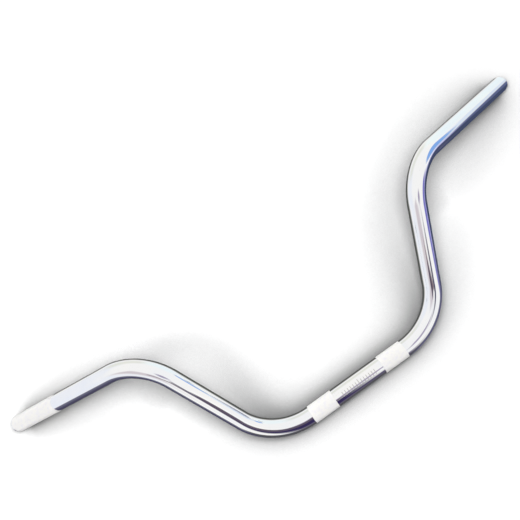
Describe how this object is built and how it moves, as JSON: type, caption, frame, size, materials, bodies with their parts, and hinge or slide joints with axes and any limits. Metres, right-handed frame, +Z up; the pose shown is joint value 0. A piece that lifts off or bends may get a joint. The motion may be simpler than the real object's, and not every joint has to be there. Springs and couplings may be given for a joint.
{
  "type": "handlebar",
  "caption": "Chromed steel high-rise handlebar, one bent tube with open ends, knurled clamp bands and a knurled left grip end.",
  "frame": {"origin": "middle of the clamped section, on the tube's axis", "axes": "+X along the clamped section towards the smooth throttle-side grip, +Y along the floor from the clamped section towards the grips, +Z up from the floor that the bar lies on"},
  "size_m": [0.8078, 0.2289, 0.0901],
  "materials": {
    "chromed_steel": "bright chrome plate on polished steel tube, satin on the knurled bands"
  },
  "bodies": {
    "root": {"handlebar_tube": "chromed_steel"}
  },
  "joints": []
}
